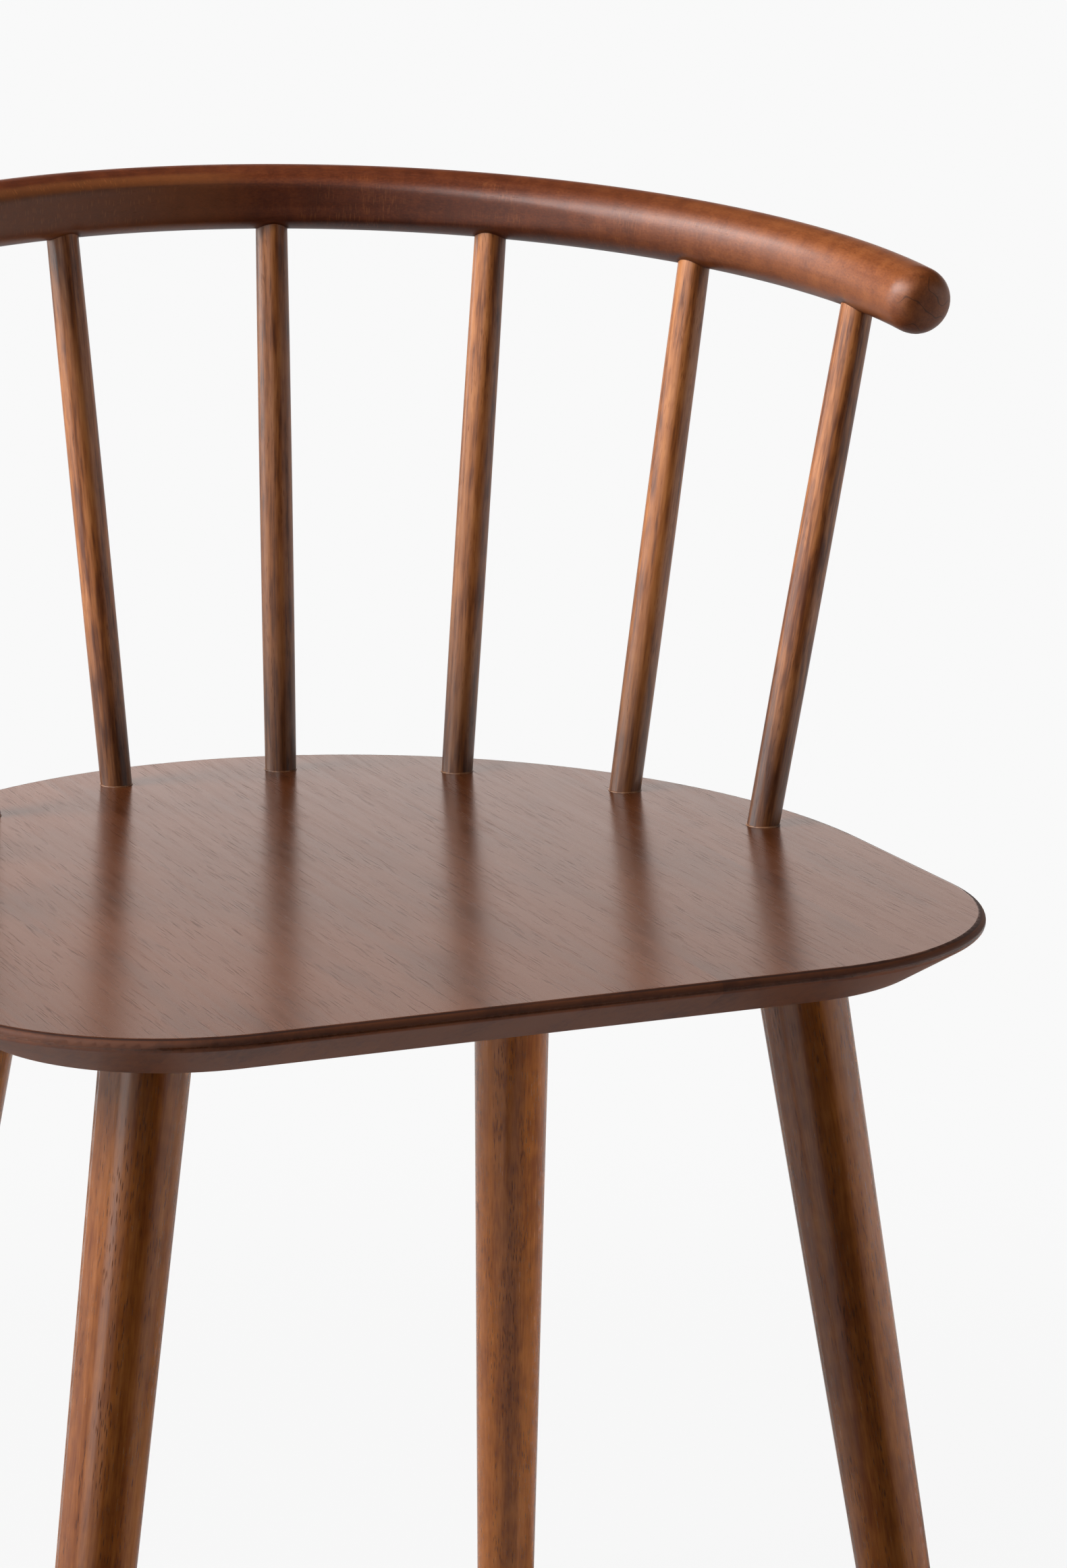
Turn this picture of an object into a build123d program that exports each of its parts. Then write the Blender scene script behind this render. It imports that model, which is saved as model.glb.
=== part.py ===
from build123d import *

import math
import os

os.makedirs("parts", exist_ok=True)

# A chair with a flat seat, four splayed legs and a bent rail on leaning spindles.
# It faces -Y, left and right are as seen from the front, and the floor is Z = 0.
# The waist is the widest line of the seat, where its oval back half begins.
# Sizes are in millimetres and angles in degrees.

# Seat
seat_height = 465.0
seat_width = 494.0
seat_front_depth = 211.0
seat_back_depth = 281.0
seat_thickness = 22.0
seat_corner_radius = 115.0
seat_edge_radius = 3.5
undercut_drop = 5.0
undercut_inset = 28.0
undercut_edge_radius = 2.4
centre_board_width = 150.0
inner_board_width = 95.0

# Rail of the back
rail_diameter = 32.0
rail_radius = 274.0
rail_rise = 284.0
rail_centre_to_seat_back = 268.0
rail_tilt = 6.1
rail_half_angle = 94.0
rail_end_radius = 11.0
rail_flat_depth = 3.2
rail_flat_half_angle = 50.0

# Spindles
spindle_count = 8
spindle_diameter = 16.4
spindle_end_diameter = 15.6
spindle_side_inset = 29.0
spindle_back_inset = 33.0
spindle_foot_step = 23.0
spindle_top_step = 23.2
spindle_foot_tenon = 13.0
spindle_tip_past_centre = 2.0
spindle_tip_chamfer = 0.8

# Legs
leg_head_diameter = 40.0
leg_foot_diameter = 30.2
leg_foot_chamfer = 1.5
front_leg_side = 153.3
front_leg_forward = 123.8
front_leg_splay = 8.3
front_leg_rake = -4.4
back_leg_side = 132.4
back_leg_backward = 152.5
back_leg_splay = 5.65
back_leg_rake = 14.5
leg_tenon_diameter = 24.0
leg_tenon_length = 14.5

# Wedges hidden in the leg tenons
wedge_length = 11.0
wedge_tip_thickness = 1.2
wedge_head_thickness = 3.0

# Floor glides
glide_diameter = 21.0
glide_thickness = 3.0
glide_edge_radius = 0.8
glide_stem_diameter = 5.0
glide_stem_length = 13.0

# Clearances
mortise_clearance = 0.1
mortise_relief = 1.0
wedge_clearance = 0.1
stem_clearance = 0.1
stem_relief = 1.0

# Derived places
half_width = seat_width / 2
seat_bottom = seat_height - seat_thickness
front_reach = seat_front_depth
rail_centre_back = seat_back_depth - rail_centre_to_seat_back
back_reach = rail_centre_back + rail_radius * math.cos(math.radians(rail_tilt)) + rail_diameter / 2
waist_y = (front_reach - back_reach) / 2
rail_plane = Plane(
    origin=(
        0,
        waist_y + rail_centre_back,
        seat_height + rail_rise - rail_radius * math.sin(math.radians(rail_tilt)),
    ),
    x_dir=(1, 0, 0),
    z_dir=(0, -math.sin(math.radians(rail_tilt)), math.cos(math.radians(rail_tilt))),
)


def rail_point(angle):
    """Point of the rail's centre line, measured from the middle of the back."""
    turn = math.radians(angle)
    flat = Vector(rail_radius * math.sin(turn), rail_radius * math.cos(turn), 0)
    return rail_plane.from_local_coords(flat)


def foot_point(angle):
    """Point on the seat where a spindle stands, on an oval inside the seat's edge."""
    turn = math.radians(angle)
    across = (half_width - spindle_side_inset) * math.sin(turn)
    back = (seat_back_depth - spindle_back_inset) * math.cos(turn)
    return Vector(across, waist_y + back, seat_height)


def spindle_axes():
    """Foot and rail point of every spindle, from left to right."""
    places = [index - (spindle_count - 1) / 2 for index in range(spindle_count)]
    return [
        (foot_point(place * spindle_foot_step), rail_point(place * spindle_top_step))
        for place in places
    ]


def leg_places():
    """Name, head centre on the seat's underside, and downward direction of every leg."""
    rows = [
        ("front", front_leg_side, -front_leg_forward, front_leg_splay, front_leg_rake),
        ("back", back_leg_side, back_leg_backward, back_leg_splay, back_leg_rake),
    ]
    places = []
    for row, across, along, splay, rake in rows:
        for side, sign in (("left", -1), ("right", 1)):
            head = Vector(sign * across, waist_y + along, seat_bottom)
            lean = Vector(
                sign * math.tan(math.radians(splay)),
                math.tan(math.radians(rake)),
                -1,
            )
            places.append((f"{row}_{side}", head, lean.normalized()))
    return places


def along(start, direction):
    """Plane at a point, with its Z axis along a direction."""
    return Plane(origin=start, z_dir=direction)


def turned(points):
    """Solid of revolution about Z from its outline of radius and height."""
    return revolve(make_face(Plane.XZ * Polyline(*points, close=True)), Axis.Z)


def seat_blank():
    """Seat with its rounded top edge and the undercut below it, before the mortises."""
    back = EllipticalCenterArc((0, 0), half_width, seat_back_depth, start_angle=0, arc_size=180)
    front = Polyline(
        (-half_width, 0),
        (-half_width, -seat_front_depth),
        (half_width, -seat_front_depth),
        (half_width, 0),
    )
    outline = make_face(back + front)
    outline = fillet(outline.vertices().sort_by(Axis.Y)[:2], seat_corner_radius)
    blank = extrude(Pos(0, waist_y, seat_bottom) * outline, seat_thickness)
    underside = blank.faces().sort_by(Axis.Z)[0]
    blank = chamfer(
        underside.edges(),
        length=undercut_inset,
        length2=seat_thickness - undercut_drop,
        reference=underside,
    )
    arris_height = seat_height - undercut_drop
    arris = blank.edges().filter_by_position(Axis.Z, arris_height - 0.01, arris_height + 0.01)
    blank = fillet(arris, undercut_edge_radius)
    return fillet(blank.faces().sort_by(Axis.Z)[-1].edges(), seat_edge_radius)


def spindle_mortise(start, direction, depth):
    """Blind round hole that takes a spindle's end."""
    radius = spindle_end_diameter / 2 + mortise_clearance
    hole = Cylinder(radius, depth, align=(Align.CENTER, Align.CENTER, Align.MIN))
    return along(start, direction) * hole


def seat_boards(spindles, legs):
    """The seat with its mortises, as the edge-glued boards that it is made of."""
    seat = seat_blank()
    over = spindle_diameter / 2
    for foot, top in spindles:
        lean = (top - foot).normalized()
        depth = spindle_foot_tenon + mortise_relief
        seat -= spindle_mortise(foot - lean * depth, lean, depth + over)
    for _, head, down in legs:
        radius = leg_tenon_diameter / 2 + mortise_clearance
        depth = leg_tenon_length + mortise_relief
        hole = Cylinder(radius, depth + radius, align=(Align.CENTER, Align.CENTER, Align.MIN))
        seat -= along(head - down * depth, down) * hole
    inner = centre_board_width / 2
    outer = inner + inner_board_width
    spans = {
        "seat_board_left_outer": (-half_width, -outer),
        "seat_board_left_inner": (-outer, -inner),
        "seat_board_centre": (-inner, inner),
        "seat_board_right_inner": (inner, outer),
        "seat_board_right_outer": (outer, half_width),
    }
    length = 2 * (seat_front_depth + seat_back_depth)
    boards = {}
    for name, (low, high) in spans.items():
        slab = Box(high - low, length, seat_thickness)
        middle = Pos((low + high) / 2, waist_y, seat_height - seat_thickness / 2)
        boards[name] = seat & (middle * slab)
    return boards


def back_rail(spindles):
    """Bent round rail with domed ends, a flattened front face and its spindle mortises."""
    radius = rail_diameter / 2
    section = Pos(rail_radius, 0, 0) * (Plane.XZ * Circle(radius))
    rail = revolve(Rot(0, 0, 90 - rail_half_angle) * section, Axis.Z, 2 * rail_half_angle)
    ends = rail.edges().filter_by(GeomType.CIRCLE).filter_by(lambda edge: edge.radius == radius)
    rail = fillet(ends, rail_end_radius)
    rail -= flat_cutter()
    rail = rail_plane * rail
    for foot, top in spindles:
        lean = (top - foot).normalized()
        depth = spindle_tip_past_centre + mortise_relief
        rail -= spindle_mortise(top - lean * rail_diameter, lean, rail_diameter + depth)
    return rail


def flat_cutter():
    """Round cutter that takes the flat off the rail's inside and runs out at both ends of it."""
    inside = rail_radius - rail_diameter / 2
    reach = inside + rail_flat_depth
    run_out = math.cos(math.radians(rail_flat_half_angle))
    shift = (reach**2 - inside**2) / (2 * (reach - inside * run_out))
    return Pos(0, shift, 0) * Cylinder(reach - shift, 2 * rail_diameter)


def spindle(foot, top):
    """Spindle with a slight swell in the middle and a plain tenon at each end."""
    lean = top - foot
    visible = lean.length
    end = spindle_end_diameter / 2
    tip = visible + spindle_tip_past_centre
    edge = spindle_tip_chamfer
    swell = ThreePointArc((end, 0), (spindle_diameter / 2, visible / 2), (end, visible))
    rest = Polyline(
        (end, visible),
        (end, tip - edge),
        (end - edge, tip),
        (0, tip),
        (0, -spindle_foot_tenon),
        (end - edge, -spindle_foot_tenon),
        (end, edge - spindle_foot_tenon),
        (end, 0),
    )
    body = revolve(make_face(Plane.XZ * (swell + rest)), Axis.Z)
    return along(foot, lean.normalized()) * body


def wedge_form(gap):
    """Tapered wedge in the end of a leg tenon, drawn in by a gap on both faces."""
    head = leg_tenon_length
    tip = head - wedge_length
    head_half = wedge_head_thickness / 2 - gap
    tip_half = wedge_tip_thickness / 2 - gap
    outline = Polyline(
        (-tip_half, tip),
        (tip_half, tip),
        (head_half, head),
        (-head_half, head),
        close=True,
    )
    blade = extrude(make_face(Plane.XZ * outline), leg_tenon_diameter / 2, both=True)
    radius = leg_tenon_diameter / 2
    return blade & Cylinder(radius, leg_tenon_length, align=(Align.CENTER, Align.CENTER, Align.MIN))


def leg(head, down):
    """Tapered round leg cut level at seat and floor, with a slotted tenon and a glide hole."""
    length = (seat_bottom - glide_thickness) / -down.Z
    head_radius = leg_head_diameter / 2
    foot_radius = leg_foot_diameter / 2
    over = head_radius
    taper = (head_radius - foot_radius) / length * over
    shank = turned(
        [
            (0, -over),
            (head_radius + taper, -over),
            (foot_radius - taper, length + over),
            (0, length + over),
        ]
    )
    height = seat_bottom - glide_thickness
    spread = 4 * (height + leg_head_diameter)
    level = Pos(0, 0, glide_thickness + height / 2) * Box(spread, spread, height)
    body = (along(head, down) * shank) & level
    body = chamfer(body.faces().sort_by(Axis.Z)[0].edges(), leg_foot_chamfer)
    tenon = Cylinder(
        leg_tenon_diameter / 2,
        leg_tenon_length + over,
        align=(Align.CENTER, Align.CENTER, Align.MAX),
    )
    tenon = Pos(0, 0, leg_tenon_length) * tenon - wedge_form(0)
    body += along(head, -down) * tenon
    foot = head + down * length
    depth = glide_stem_length + stem_relief
    hole = Cylinder(
        glide_stem_diameter / 2 + stem_clearance,
        depth,
        align=(Align.CENTER, Align.CENTER, Align.MIN),
    )
    return body - Pos(foot) * hole


def wedge(head, down):
    """Hardwood wedge that spreads a leg tenon in its mortise."""
    return along(head, -down) * wedge_form(wedge_clearance)


def glide(head, down):
    """Nylon floor glide, a rounded disc on a stem that is driven up into the leg."""
    length = (seat_bottom - glide_thickness) / -down.Z
    foot = head + down * length
    base = (Align.CENTER, Align.CENTER, Align.MIN)
    disc = Cylinder(glide_diameter / 2, glide_thickness, align=base)
    disc = fillet(disc.faces().sort_by(Axis.Z)[0].edges(), glide_edge_radius)
    stem = Pos(0, 0, glide_thickness) * Cylinder(glide_stem_diameter / 2, glide_stem_length, align=base)
    return Pos(foot.X, foot.Y, 0) * (disc + stem)


def chair():
    """Every piece of the chair by name."""
    spindles = spindle_axes()
    legs = leg_places()
    pieces = seat_boards(spindles, legs)
    pieces["back_rail"] = back_rail(spindles)
    for number, (foot, top) in enumerate(spindles, start=1):
        pieces[f"spindle_{number}"] = spindle(foot, top)
    for name, head, down in legs:
        pieces[f"leg_{name}"] = leg(head, down)
        pieces[f"tenon_wedge_{name}"] = wedge(head, down)
        pieces[f"glide_{name}"] = glide(head, down)
    return pieces


for node, piece in chair().items():
    export_step(piece, f"parts/{node}.step")
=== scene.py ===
import math
from collections import namedtuple

import bmesh
import bpy
import numpy as np
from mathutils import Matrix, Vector


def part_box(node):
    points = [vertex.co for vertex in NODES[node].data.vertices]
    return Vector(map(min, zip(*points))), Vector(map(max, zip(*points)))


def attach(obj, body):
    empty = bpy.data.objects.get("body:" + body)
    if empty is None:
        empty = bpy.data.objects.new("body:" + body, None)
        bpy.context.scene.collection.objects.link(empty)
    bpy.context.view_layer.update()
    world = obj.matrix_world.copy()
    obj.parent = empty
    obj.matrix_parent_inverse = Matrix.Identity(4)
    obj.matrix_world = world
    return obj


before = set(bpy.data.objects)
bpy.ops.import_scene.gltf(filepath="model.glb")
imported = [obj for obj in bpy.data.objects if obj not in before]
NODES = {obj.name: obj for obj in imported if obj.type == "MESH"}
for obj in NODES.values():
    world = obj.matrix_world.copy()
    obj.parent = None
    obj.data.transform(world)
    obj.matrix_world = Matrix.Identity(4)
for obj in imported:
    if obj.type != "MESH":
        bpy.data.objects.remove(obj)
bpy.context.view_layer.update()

SEAT_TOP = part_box("seat_board_centre")[1].z
UP = Vector((0, 0, 1))
RIGHT = Vector((1, 0, 0))
BACK = Vector((0, 1, 0))

# Camera: place in metres, turn in degrees, focal length in pixels of the 1581 x 2324 frame
IMAGE_WIDTH = 1581
IMAGE_HEIGHT = 2324
CAMERA_PLACE = Vector((-0.8120, -2.1196, 1.0311))
CAMERA_YAW = -22.931
CAMERA_PITCH = 13.096
FOCAL_PIXELS = 7460.3
CENTRE_COLUMN = 755.0
SENSOR = 36.0
CLIP_END = 200
TO_CAMERA = Vector((CAMERA_PLACE.x, CAMERA_PLACE.y, 0)).normalized()
TO_LEFT = TO_CAMERA.cross(UP)

# Studio: a pale room with an unlit wedge in front of the chair. On the floor the wedge is painted shade: a
# dark floor colour that bounced light and the lacquer see.
# From here on, a pair named as a range or an edge is where a smooth step starts and where it ends.
BACKGROUND = (0.947, 0.947, 0.947, 1)
DIM = (0.03, 0.03, 0.03, 1)
PAPER = (0.36, 0.36, 0.36, 1)
WALL_LIGHT = 0.5  # share of the wall's brightness that lights the chair
MIRRORED = 0.45  # share of the background's brightness that shows in the lacquer
WALL_TOP_EDGE = (0.42, 0.17)  # sine of the height angle
DIM_AZIMUTH = -19
DIM_EDGE = (0.92, 0.80)  # cosine of the angle from the wedge's middle
FLOOR_HALF = 40.0
FLOOR_RANGE = (0.45, 1.3)  # distance from the chair over which the floor turns into background
FLOOR_GLOW = 0.97
FULL_SPREAD = 180
WHITE = (1, 1, 1)
WARM = (1, 0.82, 0.76)
WARMER = (1, 0.70, 0.57)

# Wood. Colours are linear, sizes are in metres, and a size of two numbers is across and along the grain.
#   stops, ends: grain colours from dark to light, and lighter ones that take over towards the rail's ends
#       as painted light, leaving the rail's middle as painted shade
#   layers: share of each layer of the grain in its shade, and its size
#   pore, pore_size, pore_least, pore_depth: colour, size, rarity and strength of the open pores
#   pore_gloss, pore_dull: share of the gloss left in the pores, and their roughness
#   relief, soft_edge: strength of the bump, and radius that softens edges
#   roughness: least and greatest roughness of the lacquer
#   painted_underside_tone, under_roughness: tone and roughness of the side that faces the floor, whose
#       paler tone is painted light from below
#   edge_shade_strength, edge_shade_colour: strength and colour of the painted shade along the upper edge
#   fleck: colour of the ray flecks
#   shaded_foot_reach, shaded_foot_tone: height and tone of the painted shade that darkens the foot where it
#       meets the seat
#   wear: how far edges are rubbed through
SEAT_LOOK = {
    "stops": ((0.049, 0.013, 0.0042), (0.084, 0.024, 0.0076), (0.092, 0.027, 0.0088)),
    "layers": ((0.40, 0.028, 0.40), (0.30, 0.0030, 0.15), (0.18, 0.0007, 0.030), (0.36, 0.040, 0.060)),
    "pore": (0.020, 0.006, 0.003),
    "pore_size": (0.00035, 0.022),
    "pore_least": 0.55,
    "pore_depth": 0.85,
    "pore_gloss": 0.35,
    "pore_dull": 0.38,
    "relief": 0.06,
    "roughness": (0.21, 0.28),
    "painted_underside_tone": 2.25,
    "under_roughness": 0.55,
    "edge_shade_strength": 0.92,
    "edge_shade_colour": (0.018, 0.007, 0.005),
}
RAIL_LOOK = {
    "stops": ((0.060, 0.011, 0.002), (0.100, 0.0195, 0.0035), (0.142, 0.0325, 0.006)),
    "ends": ((0.135, 0.032, 0.007), (0.205, 0.055, 0.012), (0.270, 0.081, 0.020)),
    "layers": ((0.40, 0.028, 0.40), (0.15, 0.0032, 0.12), (0.40, 0.0009, 0.0016), (0.40, 0.014, 0.009)),
    "pore": (0.040, 0.010, 0.003),
    "pore_size": (0.0005, 0.003),
    "pore_least": 0.85,
    "pore_depth": 0.40,
    "relief": 0.25,
    "soft_edge": 0.007,
    "roughness": (0.38, 0.46),
    "fleck": (0.300, 0.100, 0.026),
}
SPINDLE_LOOK = {
    "stops": ((0.092, 0.022, 0.005), (0.290, 0.094, 0.022), (0.420, 0.158, 0.044)),
    "layers": ((0.30, 0.028, 0.40), (0.50, 0.0034, 0.050), (0.40, 0.0008, 0.014), (0.30, 0.006, 0.020)),
    "pore": (0.040, 0.010, 0.004),
    "pore_size": (0.0005, 0.006),
    "pore_least": 0.60,
    "pore_depth": 0.50,
    "relief": 0.25,
    "roughness": (0.30, 0.40),
    "shaded_foot_reach": 0.12,
    "shaded_foot_tone": 0.42,
}
LEG_LOOK = {
    "stops": ((0.125, 0.031, 0.005), (0.200, 0.058, 0.009), (0.270, 0.087, 0.0155)),
    "layers": ((0.40, 0.028, 0.40), (0.30, 0.0030, 0.060), (0.32, 0.0008, 0.011), (0.30, 0.010, 0.018)),
    "pore": (0.022, 0.006, 0.003),
    "pore_size": (0.0007, 0.0070),
    "pore_least": 0.15,
    "pore_depth": 0.75,
    "relief": 0.30,
    "roughness": (0.20, 0.28),
    "wear": 0.20,
}
WEDGE_LOOK = {
    "stops": ((0.30, 0.17, 0.085), (0.42, 0.27, 0.15), (0.50, 0.34, 0.20)),
    "layers": ((0.40, 0.028, 0.40), (0.40, 0.0032, 0.12), (0.30, 0.0005, 0.018), (0.20, 0.020, 0.011)),
    "pore": (0.20, 0.11, 0.05),
    "pore_size": (0.0007, 0.004),
    "pore_least": 0.60,
    "pore_depth": 0.60,
    "relief": 0.30,
    "roughness": (0.45, 0.60),
}

# Tone of each seat board, and of the turned pieces, which take a few tones in turn
SEAT_TONES = {
    "left_outer": 0.97,
    "left_inner": 1.04,
    "centre": 1.0,
    "right_inner": 0.95,
    "right_outer": 1.03,
}
PALER = {"leg_back_right": 1.28}
TONE_LEAST = 0.94
TONE_STEP = 0.03
TONE_COUNT = 4

# Shift of the grain from one piece to the next, in metres
SEAT_SHIFT = (0.37, 0.53, 0.71)
TURNED_SHIFT = (0.31, 0.17, 0.43)

# Grain and lacquer
NOISE_MIDDLE = 0.5
GRAIN_DETAIL = 3.0
SHADE_SPREAD = 0.2
END_GRAIN_RANGE = (0.35, 0.75)  # cosine of the angle between the surface's normal and the grain
PORE_EDGE = (0.40, 0.20)
PORE_FADE = 0.06
CLUSTER_SIZE = (0.006, 0.060)
CLUSTER_DETAIL = 2.0
CLUSTER_RANGE = (0.40, 0.58)
DULL_SHARES = (0.6, 0.4, 0.5)  # of streaks, fibres and pores
DULL_RANGE = (0.35, 0.75)
HEIGHT_SHARES = (0.10, 0.20, -0.8)  # of streaks, fibres and pores
RELIEF_DEPTH = 0.0002
SOFT_SAMPLES = 8
LACQUER_IOR = 1.56
LACQUER_GLOSS = 0.5

# Upper edge and underside of the seat, found by how far the surface faces up. The edge takes painted shade,
# a dark line and a fainter band, and the underside a paler tone of painted light.
EDGE_START_RANGE = (0.995, 0.96)
ROUNDOVER_RANGE = (0.05, 0.30)
ROUNDOVER_ROUGHNESS = 0.6
ROUNDOVER_GLOSS = 0.2
EDGE_SHADE_LINE_RANGE = (0.78, 0.88)
EDGE_SHADE_PATCH = (0.05, 0.05, 0.05)
EDGE_SHADE_RANGE = (0.25, 0.55)
EDGE_SHADE_LEAST = 0.6
EDGE_SHADE_BAND = 0.2
UNDERSIDE_RANGE = (-0.1, -0.4)

# Rail: its grain coordinates are metres out from the bend's line, up from it and along it to the right
# distance along the rail from its middle over which the painted light of its lighter ends takes over
RAIL_LIT_ENDS_RANGE = (0.14, 0.42)
RAIL_CUT = (0.005, 0.002)  # depth behind the tips where the cut end starts and is full
RAIL_FLAT_EDGE = (-0.009, -0.012)
# the left part of the rail's flat gets a paler ground of painted light, and its flecks are stronger there
PAINTED_LIGHT_PART_EDGE = (0.055, 0.005)
PAINTED_LIGHT_GROUND = 0.40
FLECK_SIZE = (0.004, 0.005, 0.0008)
FLECK_EDGE = (0.55, 0.15)
FLECK_RANGE = (0.25, 0.5)
FLECK_STRENGTH = (0.30, 0.85)  # on the right part and on the pale left part
FLECK_PATCH = (0.03, 0.03, 0.05)
PATCH_RANGE = (0.42, 0.62)
CHECK_SIZE = (0.012, 0.012, 0.03)
CHECK_DETAIL = 1.0
CHECK_EDGE = (0.020, 0.004)
CHECK_DEPTH = 0.7

# Rubbed edges of the legs
WEAR_RADIUS = 0.0025
WEAR_SAMPLES = 4
WEAR_EDGE = (0.995, 0.93)
WORN_TONE = 1.5

# Nylon glides and dried glue: two colours each, size of the speckle, least and greatest roughness
NYLON = ((0.026, 0.025, 0.024, 1), (0.045, 0.043, 0.042, 1))
NYLON_SPECK = 0.0006
NYLON_ROUGHNESS = (0.45, 0.6)
GLUE = ((0.13, 0.054, 0.024, 1), (0.23, 0.11, 0.055, 1))
GLUE_SPECK = 0.004
GLUE_ROUGHNESS = (0.2, 0.35)
SPECK_DETAIL = 3.0
SPECK_COLOUR_RANGE = (0.35, 0.65)
SPECK_DULL_RANGE = (0.3, 0.7)
SPECK_RELIEF = 0.25
SPECK_DEPTH = 0.0001

# Glue beads: distance of the bead's line from the spindle's axis, and size of the bead
GLUE_REACH = 0.0078
GLUE_RADIUS = 0.0005
GLUE_ROUNDS = 64
GLUE_CORNERS = 8

Figure = namedtuple("Figure", "grain cut streak fibre shade pore")


class Graph:
    """One node tree, with short calls for the nodes used here."""

    def __init__(self, tree):
        self.tree = tree
        tree.nodes.clear()

    def add(self, kind, inputs=(), **settings):
        """A new node; inputs maps sockets to plain values or to outputs of other nodes."""
        node = self.tree.nodes.new(kind)
        for key, value in settings.items():
            setattr(node, key, value)
        for key, value in dict(inputs).items():
            if isinstance(value, bpy.types.NodeSocket):
                self.tree.links.new(value, node.inputs[key])
            else:
                node.inputs[key].default_value = value
        return node

    def place(self):
        return self.add("ShaderNodeTexCoord").outputs["Object"]

    def normal(self):
        return self.add("ShaderNodeNewGeometry").outputs["Normal"]

    def soft_normal(self, radius, samples):
        """The normal, with edges rounded by radius."""
        return self.add("ShaderNodeBevel", {"Radius": radius}, samples=samples).outputs[0]

    def part(self, vector, number):
        return self.add("ShaderNodeSeparateXYZ", {0: vector}).outputs[number]

    def channel(self, colour, number):
        return self.add("ShaderNodeSeparateColor", {0: colour}).outputs[number]

    def math(self, operation, *values):
        return self.add("ShaderNodeMath", enumerate(values), operation=operation).outputs[0]

    def vector(self, operation, *values):
        return self.add("ShaderNodeVectorMath", enumerate(values), operation=operation).outputs[0]

    def dot(self, a, b):
        return self.add("ShaderNodeVectorMath", {0: a, 1: b}, operation="DOT_PRODUCT").outputs[1]

    def scaled(self, vector, size):
        """The vector in units of a size that is given for each axis."""
        return self.vector("MULTIPLY", vector, [1 / part for part in size])

    def product(self, first, *others):
        for other in others:
            first = self.math("MULTIPLY", first, other)
        return first

    def total(self, *terms):
        """The sum of (weight, value) terms."""
        result = self.math("MULTIPLY", terms[0][1], terms[0][0])
        for weight, value in terms[1:]:
            result = self.math("MULTIPLY_ADD", value, weight, result)
        return result

    def step(self, value, low, high, to_low=0.0, to_high=1.0):
        """A smooth step of value between low and high."""
        inputs = {"Value": value, "From Min": low, "From Max": high, "To Min": to_low, "To Max": to_high}
        return self.add("ShaderNodeMapRange", inputs, interpolation_type="SMOOTHSTEP").outputs[0]

    def noise(self, vector, detail=2.0):
        return self.add("ShaderNodeTexNoise", {"Vector": vector, "Scale": 1.0, "Detail": detail}).outputs[0]

    def cells(self, vector):
        """Distance from the middle of the nearest cell, and that cell's random colour."""
        node = self.add("ShaderNodeTexVoronoi", {"Vector": vector, "Scale": 1.0})
        return node.outputs["Distance"], node.outputs["Color"]

    def mix(self, factor, a, b):
        return self.add("ShaderNodeMix", {0: factor, 6: a, 7: b}, data_type="RGBA").outputs[2]

    def mix_value(self, factor, a, b):
        return self.add("ShaderNodeMix", {0: factor, 2: a, 3: b}, data_type="FLOAT").outputs[0]

    def colours(self, value, stops):
        """Colours spread evenly over value from 0 to 1."""
        node = self.add("ShaderNodeValToRGB", {0: value})
        elements = node.color_ramp.elements
        while len(elements) < len(stops):
            elements.new(0.5)
        for number, colour in enumerate(stops):
            elements[number].position = number / (len(stops) - 1)
            elements[number].color = (*colour[:3], 1)
        return node.outputs[0]

    def output(self, kind, shader):
        self.add(kind, {0: shader})


def new_material(name):
    material = bpy.data.materials.new(name)
    material.use_nodes = True
    return material, Graph(material.node_tree)


def nodes_named(prefix):
    return sorted(name for name in NODES if name.startswith(prefix))


def points_of(node):
    return np.array([vertex.co for vertex in node.data.vertices])


def long_axis(node):
    """Unit vector along the longest spread of a node's vertices, pointing up."""
    points = points_of(node)
    axis = np.linalg.svd(points - points.mean(axis=0), full_matrices=False)[2][0]
    return Vector(axis if axis[2] > 0 else -axis)


def middle(node):
    points = points_of(node)
    return Vector((points.min(axis=0) + points.max(axis=0)) / 2)


def ring_of(node):
    """Centre, radius, half length and axes of the arc that a bent node follows."""
    points = points_of(node)
    centre = points.mean(axis=0)
    normal = np.linalg.svd(points - centre, full_matrices=False)[2][2]
    normal *= math.copysign(1, normal[2])
    across = np.array(RIGHT)
    back = np.cross(normal, across)
    flat = np.stack([(points - centre) @ across, (points - centre) @ back], axis=1)
    system = np.column_stack([2 * flat, np.ones(len(flat))])
    answer = np.linalg.lstsq(system, (flat ** 2).sum(axis=1), rcond=None)[0]
    radius = math.sqrt(answer[2] + answer[0] ** 2 + answer[1] ** 2)
    middle_point = centre + answer[0] * across + answer[1] * back
    reach = np.abs(np.arctan2(flat[:, 0] - answer[0], flat[:, 1] - answer[1])).max()
    return Vector(middle_point), radius, radius * reach, [Vector(axis) for axis in (across, back, normal)]


def straight_grain(axis, offset):
    """Coordinates in metres with Z along the grain, and how far the surface is cut across it."""
    turn = axis.rotation_difference(UP).to_euler()

    def coordinates(graph):
        inputs = {"Vector": graph.place(), "Location": offset, "Rotation": turn}
        across = graph.math("ABSOLUTE", graph.dot(graph.normal(), axis))
        return graph.add("ShaderNodeMapping", inputs).outputs[0], graph.step(across, *END_GRAIN_RANGE)

    return coordinates


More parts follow.
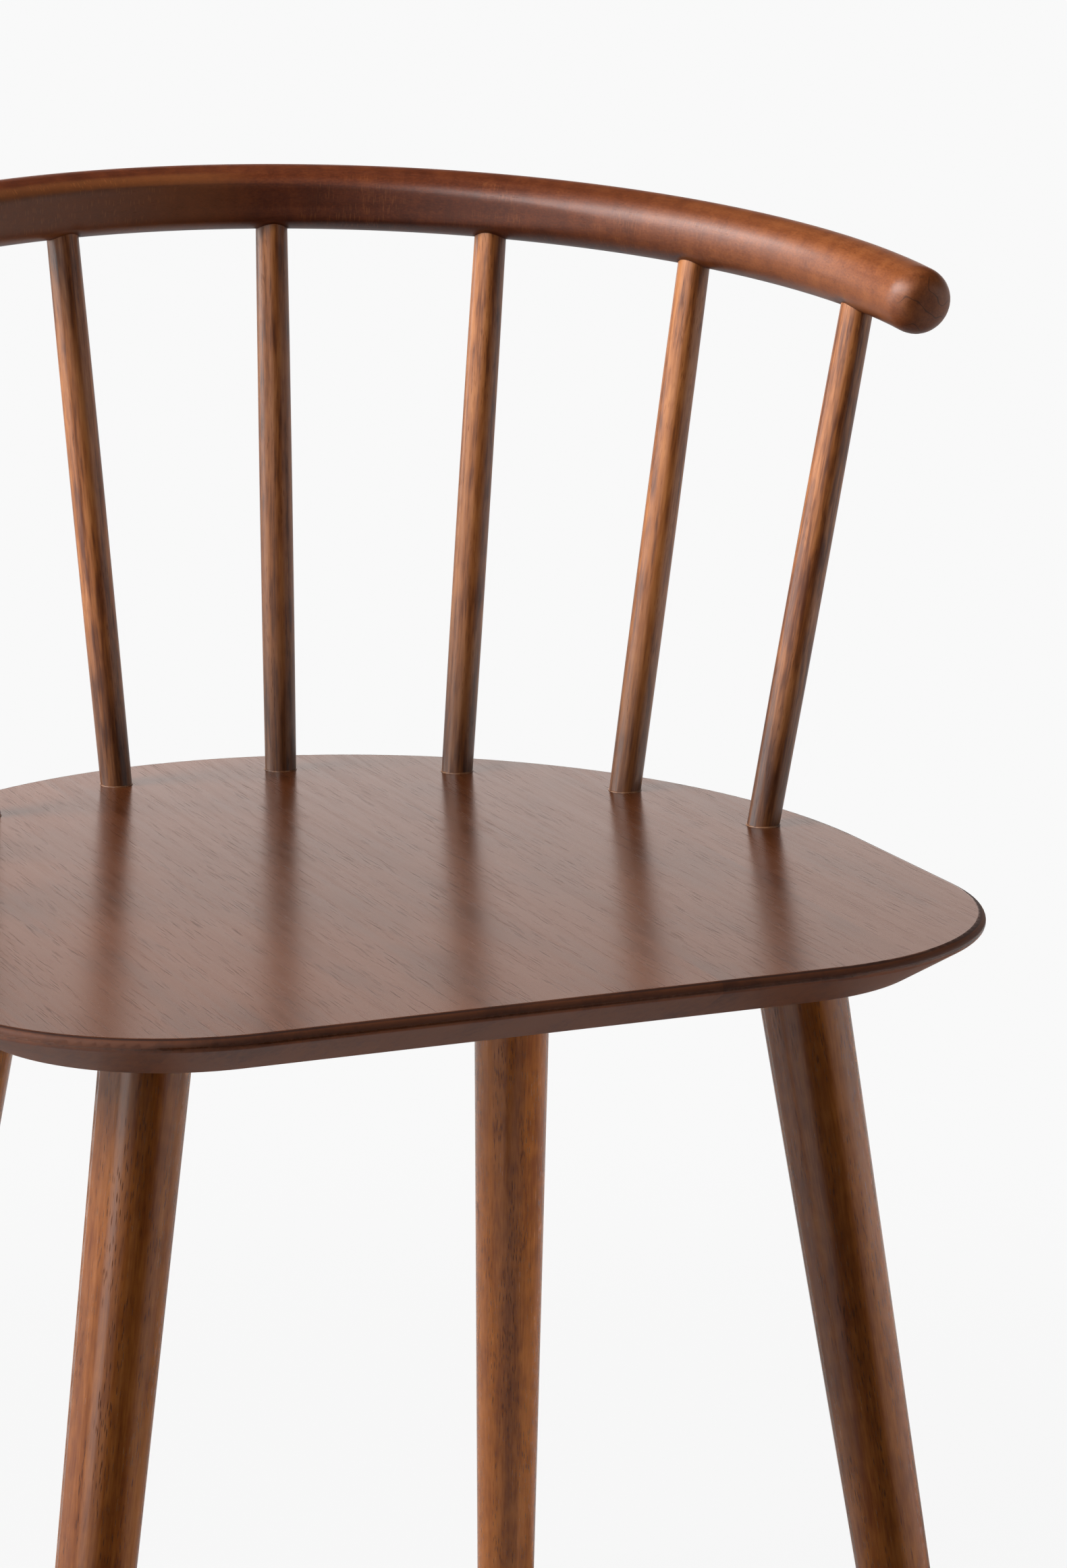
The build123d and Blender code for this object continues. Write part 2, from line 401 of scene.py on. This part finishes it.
def bent_grain(node):
    """Coordinates in metres with Z along the arc of a bent node, and where its cut ends are."""
    centre, radius, half_length, axes = ring_of(node)
    cut_edge = [half_length - depth for depth in RAIL_CUT]

    def coordinates(graph):
        offset = graph.vector("SUBTRACT", graph.place(), centre)
        across, back, height = (graph.dot(offset, axis) for axis in axes)
        squares = [(1.0, graph.math("POWER", part, 2.0)) for part in (across, back)]
        reach = graph.math("SQRT", graph.total(*squares))
        along = graph.math("MULTIPLY", graph.math("ARCTAN2", across, back), radius)
        inputs = {0: graph.math("SUBTRACT", reach, radius), 1: height, 2: along}
        cut = graph.step(graph.math("ABSOLUTE", along), *cut_edge)
        return graph.add("ShaderNodeCombineXYZ", inputs).outputs[0], cut

    return coordinates


def toned(stops, tone):
    return [[tone * part for part in stop] for stop in stops]


def stretched(graph, grain, across, along):
    """Grain coordinates in units of a size across and along the grain."""
    return graph.scaled(grain, (across, across, along))


def open_pores(graph, grain, cut, look):
    """Strength of the short pores along the grain: they gather in clusters and leave cut ends out."""
    distance, random_colour = graph.cells(stretched(graph, grain, *look["pore_size"]))
    least = look["pore_least"]
    chosen = graph.step(graph.channel(random_colour, 0), least, least + PORE_FADE)
    cluster = graph.noise(stretched(graph, grain, *CLUSTER_SIZE), CLUSTER_DETAIL)
    side = graph.math("SUBTRACT", 1.0, cut)
    core = graph.step(distance, *PORE_EDGE)
    return graph.product(core, chosen, graph.step(cluster, *CLUSTER_RANGE), side, look["pore_depth"])


def wood_figure(graph, grain_of, look):
    """Grain coordinates, cut ends, streaks, fibres, shade from 0 to 1, and pores of one piece."""
    grain, cut = grain_of(graph)
    shares = []
    layers = []
    for share, across, along in look["layers"]:
        shares.append(share)
        layers.append(graph.noise(stretched(graph, grain, across, along), GRAIN_DETAIL))
    streak, fibre = layers[1:3]
    level = NOISE_MIDDLE * sum(shares)
    shade = graph.step(graph.total(*zip(shares, layers)), level - SHADE_SPREAD, level + SHADE_SPREAD)
    return Figure(grain, cut, streak, fibre, shade, open_pores(graph, grain, cut, look))


def edge_band(graph, low, high):
    """1 on the rounded upper edge, down to where the surface's lift falls from high to low."""
    lift = graph.part(graph.normal(), 2)
    return graph.product(graph.step(lift, *EDGE_START_RANGE), graph.step(lift, low, high))


def underside(graph):
    """1 on surfaces that face the floor."""
    return graph.step(graph.part(graph.normal(), 2), *UNDERSIDE_RANGE)


def ray_flecks(graph, grain, colour, fleck):
    """Short pale flecks across the grain on the rail's flat, stronger over a paler ground of painted light
    on its left part.
    """
    front = graph.step(graph.part(grain, 0), *RAIL_FLAT_EDGE)
    left = graph.step(graph.part(grain, 2), *PAINTED_LIGHT_PART_EDGE)
    distance, random_colour = graph.cells(graph.scaled(grain, FLECK_SIZE))
    chosen = graph.step(graph.channel(random_colour, 1), *FLECK_RANGE)
    patch = graph.step(graph.noise(graph.scaled(grain, FLECK_PATCH)), *PATCH_RANGE)
    mark = graph.product(graph.step(distance, *FLECK_EDGE), chosen, patch, front)
    mark = graph.product(mark, graph.step(left, 0.0, 1.0, *FLECK_STRENGTH))
    # painted light on the left part of the flat
    painted_light = graph.product(left, front, PAINTED_LIGHT_GROUND)
    return graph.mix(graph.math("MAXIMUM", mark, painted_light), colour, (*fleck, 1))


def end_checks(graph, figure, colour, crack):
    """Fine dark drying checks on the cut ends."""
    field = graph.noise(graph.scaled(figure.grain, CHECK_SIZE), CHECK_DETAIL)
    from_middle = graph.math("ABSOLUTE", graph.math("SUBTRACT", field, NOISE_MIDDLE))
    line = graph.step(from_middle, *CHECK_EDGE)
    return graph.mix(graph.product(line, figure.cut, CHECK_DEPTH), colour, (*crack, 1))


def painted_edge_shade(graph, grain, colour, strength, edge_shade_colour):
    """Painted shade: a dark, uneven line along the upper edge, and a fainter band down the roundover."""
    uneven = graph.noise(graph.scaled(grain, EDGE_SHADE_PATCH))
    line_strength = graph.step(uneven, *EDGE_SHADE_RANGE, EDGE_SHADE_LEAST * strength, strength)
    line = graph.product(edge_band(graph, *EDGE_SHADE_LINE_RANGE), line_strength)
    band = graph.product(edge_band(graph, *ROUNDOVER_RANGE), EDGE_SHADE_BAND * strength)
    return graph.mix(graph.math("MAXIMUM", line, band), colour, (*edge_shade_colour, 1))


def worn_edges(graph, colour, bare, wear):
    """A paler, warmer tone where an edge has rubbed thin."""
    soft = graph.soft_normal(WEAR_RADIUS, WEAR_SAMPLES)
    edge = graph.step(graph.dot(soft, graph.normal()), *WEAR_EDGE)
    return graph.mix(graph.product(edge, wear), colour, (*bare, 1))


def wood_colour(graph, figure, look, stops):
    """Colour of the grain, with its pores, flecks and checks, the wear that rubs it away, and painted light
    and shade: lighter rail ends, a paler ground on the rail's flat, a darker spindle foot, a dark seat edge
    and a paler seat underside.
    """

    def grain_colours(tone):
        return graph.colours(figure.shade, toned(stops, tone))

    colour = grain_colours(1.0)
    # painted light: the rail turns lighter towards its ends and stays dark in the middle
    if "ends" in look:
        along = graph.math("ABSOLUTE", graph.part(figure.grain, 2))
        lit_ends = graph.step(along, *RAIL_LIT_ENDS_RANGE)
        colour = graph.mix(lit_ends, colour, graph.colours(figure.shade, look["ends"]))
    # painted shade: the spindles darken towards the seat
    if "shaded_foot_reach" in look:
        foot = graph.step(graph.part(graph.place(), 2), SEAT_TOP + look["shaded_foot_reach"], SEAT_TOP)
        colour = graph.mix(foot, colour, grain_colours(look["shaded_foot_tone"]))
    colour = graph.mix(figure.pore, colour, (*look["pore"], 1))
    if "fleck" in look:
        colour = ray_flecks(graph, figure.grain, colour, look["fleck"])
        colour = end_checks(graph, figure, colour, look["pore"])
    # painted shade: a dark line along the seat's upper edge and a band down its roundover
    if "edge_shade_strength" in look:
        colour = painted_edge_shade(graph, figure.grain, colour, look["edge_shade_strength"], look["edge_shade_colour"])
    if "wear" in look:
        colour = worn_edges(graph, colour, toned(stops, WORN_TONE)[-1], look["wear"])
    # painted light: the side that faces the floor is paler, standing in for light from below
    if "painted_underside_tone" in look:
        colour = graph.mix(underside(graph), colour, grain_colours(look["painted_underside_tone"]))
    return colour


def wood_sheen(graph, figure, look):
    """Roughness and gloss of the lacquer."""
    dullness = graph.total(*zip(DULL_SHARES, (figure.streak, figure.fibre, figure.pore)))
    roughness = graph.step(dullness, *DULL_RANGE, *look["roughness"])
    pore_gloss = LACQUER_GLOSS * look.get("pore_gloss", 0.0)
    gloss = graph.step(figure.pore, 0.0, 1.0, LACQUER_GLOSS, pore_gloss)
    if "pore_dull" in look:
        roughness = graph.mix_value(figure.pore, roughness, look["pore_dull"])
    if "under_roughness" in look:
        roughness = graph.mix_value(underside(graph), roughness, look["under_roughness"])
    if "edge_shade_strength" in look:
        rounded = edge_band(graph, *ROUNDOVER_RANGE)
        roughness = graph.mix_value(rounded, roughness, ROUNDOVER_ROUGHNESS)
        gloss = graph.mix_value(rounded, gloss, ROUNDOVER_GLOSS)
    return roughness, gloss


def wood_relief(graph, figure, look):
    """Normal of the surface, with the bump of streaks, fibres and pores."""
    height = graph.total(*zip(HEIGHT_SHARES, (figure.streak, figure.fibre, figure.pore)))
    inputs = {"Strength": look["relief"], "Distance": RELIEF_DEPTH, "Height": height}
    if "soft_edge" in look:
        inputs["Normal"] = graph.soft_normal(look["soft_edge"], SOFT_SAMPLES)
    return graph.add("ShaderNodeBump", inputs).outputs[0]


def wood(name, look, grain_of, tone=1.0):
    """Stained wood under satin lacquer: streaks, fibres and open pores along the grain."""
    material, graph = new_material(name)
    figure = wood_figure(graph, grain_of, look)
    roughness, gloss = wood_sheen(graph, figure, look)
    shader = graph.add("ShaderNodeBsdfPrincipled", {
        "Base Color": wood_colour(graph, figure, look, toned(look["stops"], tone)),
        "Roughness": roughness,
        "IOR": LACQUER_IOR,
        "Specular IOR Level": gloss,
        "Normal": wood_relief(graph, figure, look),
    })
    graph.output("ShaderNodeOutputMaterial", shader.outputs[0])
    return material


def speckled(name, colours, size, roughness):
    """Smooth material with a fine speckle of two colours and a slight bump."""
    material, graph = new_material(name)
    speck = graph.noise(graph.scaled(graph.place(), (size, size, size)), SPECK_DETAIL)
    bump = graph.add("ShaderNodeBump", {"Strength": SPECK_RELIEF, "Distance": SPECK_DEPTH, "Height": speck})
    shader = graph.add("ShaderNodeBsdfPrincipled", {
        "Base Color": graph.mix(graph.step(speck, *SPECK_COLOUR_RANGE), *colours),
        "Roughness": graph.step(speck, *SPECK_DULL_RANGE, *roughness),
        "Normal": bump.outputs[0],
    })
    graph.output("ShaderNodeOutputMaterial", shader.outputs[0])
    return material


def cover(node, material):
    for slot in node.material_slots:
        slot.material = material


def shifted(shift, number):
    return [number * part for part in shift]


def finish_seat():
    """Gives every seat board its own cut of wood, with the grain from front to back."""
    for number, (place, tone) in enumerate(SEAT_TONES.items()):
        grain = straight_grain(BACK, shifted(SEAT_SHIFT, number))
        cover(NODES["seat_board_" + place], wood("seat_" + place, SEAT_LOOK, grain, tone))


def finish_turned(prefix, look):
    """Gives every straight turned piece or wedge its own cut of wood, with the grain along it."""
    for number, name in enumerate(nodes_named(prefix)):
        grain = straight_grain(long_axis(NODES[name]), shifted(TURNED_SHIFT, number))
        tone = PALER.get(name, TONE_LEAST + TONE_STEP * (number % TONE_COUNT))
        cover(NODES[name], wood(name + "_wood", look, grain, tone))


def finish_glides():
    nylon = speckled("nylon_glide", NYLON, NYLON_SPECK, NYLON_ROUGHNESS)
    for name in nodes_named("glide_"):
        cover(NODES[name], nylon)


def add_mesh(name, mesh, material):
    """A new object with the shape of a bmesh, which is freed."""
    data = bpy.data.meshes.new(name)
    mesh.to_mesh(data)
    mesh.free()
    data.materials.append(material)
    piece = bpy.data.objects.new(name, data)
    bpy.context.collection.objects.link(piece)
    return piece


def glue_bead(name, spindle, material):
    """Thin bead of glue round a spindle where it enters the seat."""
    axis = long_axis(spindle)
    centre = middle(spindle)
    foot = centre + axis * ((SEAT_TOP - centre.z) / axis.z)
    side = axis.cross(RIGHT).normalized()
    front = axis.cross(side)
    mesh = bmesh.new()
    rings = []
    for step in range(GLUE_ROUNDS):
        turn = 2 * math.pi * step / GLUE_ROUNDS
        outward = side * math.cos(turn) + front * math.sin(turn)
        point = foot + outward * GLUE_REACH
        point += axis * ((SEAT_TOP - point.z) / axis.z)
        level = Vector((outward.x, outward.y, 0)).normalized()
        ring = []
        for corner in range(GLUE_CORNERS):
            lean = 2 * math.pi * corner / GLUE_CORNERS
            away = level * math.cos(lean) + UP * math.sin(lean)
            ring.append(mesh.verts.new(point + away * GLUE_RADIUS))
        rings.append(ring)
    for step, ring in enumerate(rings):
        after = rings[(step + 1) % GLUE_ROUNDS]
        for corner in range(GLUE_CORNERS):
            following = (corner + 1) % GLUE_CORNERS
            face = mesh.faces.new((ring[corner], after[corner], after[following], ring[following]))
            face.smooth = True
    bmesh.ops.recalc_face_normals(mesh, faces=mesh.faces)
    bead = add_mesh(name, mesh, material)
    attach(bead, "root")


def add_glue():
    glue = speckled("dried_glue", GLUE, GLUE_SPECK, GLUE_ROUGHNESS)
    for number, name in enumerate(nodes_named("spindle_"), 1):
        glue_bead(f"glue_bead_{number}", NODES[name], glue)


def add_camera():
    data = bpy.data.cameras.new("camera")
    data.sensor_width = SENSOR
    data.lens = FOCAL_PIXELS / IMAGE_HEIGHT * SENSOR
    data.shift_x = (IMAGE_WIDTH / 2 - CENTRE_COLUMN) / IMAGE_HEIGHT
    data.clip_end = CLIP_END
    camera = bpy.data.objects.new("camera", data)
    camera.location = CAMERA_PLACE
    camera.rotation_euler = (math.radians(90 - CAMERA_PITCH), 0, math.radians(CAMERA_YAW))
    bpy.context.collection.objects.link(camera)
    bpy.context.scene.camera = camera


def way_from(azimuth):
    """Level direction at an angle from the camera's side, positive to its left."""
    turn = math.radians(azimuth)
    return TO_CAMERA * math.cos(turn) + TO_LEFT * math.sin(turn)


def open_side(graph, direction):
    """1 all round, and 0 in the wedge of unlit room in front of the chair."""
    level = graph.vector("NORMALIZE", graph.vector("MULTIPLY", direction, (1, 1, 0)))
    return graph.step(graph.dot(level, way_from(DIM_AZIMUTH)), *DIM_EDGE)


def seen(graph, mask):
    """Rays that show the background: from the camera, through glass, and off gloss where mask is 1."""
    path = graph.add("ShaderNodeLightPath").outputs
    gloss = graph.product(path["Is Glossy Ray"], mask, MIRRORED)
    direct = graph.math("MAXIMUM", path["Is Camera Ray"], path["Is Transmission Ray"])
    return graph.math("MAXIMUM", direct, gloss)


def add_floor():
    """Pale floor that runs out to the horizon and keeps the chair's shadow, with painted shade in the wedge
    in front of the chair, where it is dark to bounced light and to the lacquer.
    """
    material, graph = new_material("floor_sweep")
    place = graph.place()
    distance = graph.add("ShaderNodeVectorMath", {0: place}, operation="LENGTH").outputs[1]
    far = graph.step(distance, *FLOOR_RANGE)
    sweep = open_side(graph, place)
    # painted shade: in the wedge in front of the chair the floor's colour is dark
    matt = graph.add("ShaderNodeBsdfDiffuse", {"Color": graph.mix(sweep, DIM, PAPER)}).outputs[0]
    glow = graph.add("ShaderNodeEmission", {"Color": BACKGROUND, "Strength": 1.0}).outputs[0]
    shown = seen(graph, graph.product(sweep, far))
    share = graph.product(shown, graph.step(far, 0.0, 1.0, FLOOR_GLOW, 1.0))
    surface = graph.add("ShaderNodeMixShader", {0: share, 1: matt, 2: glow}).outputs[0]
    graph.output("ShaderNodeOutputMaterial", surface)
    mesh = bmesh.new()
    bmesh.ops.create_grid(mesh, x_segments=1, y_segments=1, size=FLOOR_HALF)
    floor = add_mesh("floor", mesh, material)


def add_world():
    """White wall behind the chair, dim towards the camera and overhead."""
    world = bpy.data.worlds.new("studio")
    world.use_nodes = True
    bpy.context.scene.world = world
    graph = Graph(world.node_tree)
    direction = graph.add("ShaderNodeTexCoord").outputs["Generated"]
    low = graph.step(graph.dot(direction, UP), *WALL_TOP_EDGE)
    wall = graph.product(open_side(graph, direction), low)
    shade = graph.math("MAXIMUM", seen(graph, wall), graph.product(wall, WALL_LIGHT))
    colour = graph.mix(shade, DIM, BACKGROUND)
    surface = graph.add("ShaderNodeBackground", {"Color": colour, "Strength": 1.0}).outputs[0]
    graph.output("ShaderNodeOutputWorld", surface)


def add_lamp(name, hidden_from, azimuth, distance, height, aim, size, level,
             spread=FULL_SPREAD, colour=WHITE):
    """Area lamp at an azimuth and a height, aimed at another height over the origin.

    It lights a surface that faces it there at the given level.
    """
    data = bpy.data.lights.new(name, "AREA")
    data.shape = "RECTANGLE"
    data.color = colour
    data.size, data.size_y = size
    data.spread = math.radians(spread)
    lamp = bpy.data.objects.new(name, data)
    lamp.location = way_from(azimuth) * distance + UP * height
    back = lamp.location - UP * aim
    data.energy = level * math.pi ** 2 * back.length_squared
    if spread < FULL_SPREAD:
        half = math.radians(spread) / 2
        data.energy *= 1 - half / math.tan(half)
    lamp.rotation_euler = back.to_track_quat("Z", "Y").to_euler()
    lamp.visible_camera = False
    setattr(lamp, "visible_" + hidden_from, False)
    bpy.context.collection.objects.link(lamp)


def add_light(name, **settings):
    """Lamp that lights surfaces and doesn't show in the lacquer."""
    add_lamp(name, "glossy", **settings)


def add_card(name, **settings):
    """Lamp that shows in the lacquer and doesn't light surfaces."""
    add_lamp(name, "diffuse", **settings)


def light_studio():
    """Main light from the left, weak fill from the right, and cards for the highlights."""
    add_light("key", azimuth=77, distance=2.2, height=2.20, aim=0.55, size=(1.4, 1.4), level=2.05)
    add_light("low_key", azimuth=85, distance=2.4, height=0.25, aim=0.22, size=(0.5, 0.3), level=0.35,
              spread=30)
    add_card("rail_card", azimuth=62, distance=2.17, height=2.30, aim=0.75, size=(4.6, 1.4), level=2.30)
    add_card("left_card", azimuth=95, distance=2.4, height=0.85, aim=0.85, size=(3.0, 0.8), level=0.50)
    add_light("overhead", azimuth=180, distance=1.5, height=2.8, aim=0.50, size=(2.0, 2.0), level=0.30)
    add_light("fill", azimuth=-95, distance=2.2, height=0.20, aim=0.20, size=(0.5, 0.3), level=1.00,
              spread=30)
    add_light("high_fill", azimuth=-75, distance=3.0, height=0.80, aim=0.60, size=(1.5, 1.0), level=0.15)
    add_light("front_fill", azimuth=-10, distance=3.0, height=0.15, aim=0.20, size=(0.4, 0.3), level=0.12,
              spread=20)
    add_card("low_card", azimuth=42, distance=2.4, height=0.24, aim=0.24, size=(0.9, 0.44), level=0.050)
    add_card("right_card", azimuth=-110, distance=3.0, height=0.30, aim=0.30, size=(2.5, 1.2), level=0.027)
    add_card("sheen", azimuth=180, distance=2.5, height=0.82, aim=0.82, size=(4.0, 0.40), level=0.104,
             colour=WARM)
    add_card("sheen_high", azimuth=180, distance=2.5, height=1.28, aim=1.28, size=(4.0, 0.45), level=0.060,
             colour=WARMER)


finish_seat()
cover(NODES["back_rail"], wood("rail", RAIL_LOOK, bent_grain(NODES["back_rail"])))
finish_turned("spindle_", SPINDLE_LOOK)
finish_turned("leg_", LEG_LOOK)
finish_turned("tenon_wedge_", WEDGE_LOOK)
finish_glides()
add_glue()
add_camera()
add_floor()
add_world()
light_studio()
bpy.context.scene.view_settings.view_transform = "Standard"
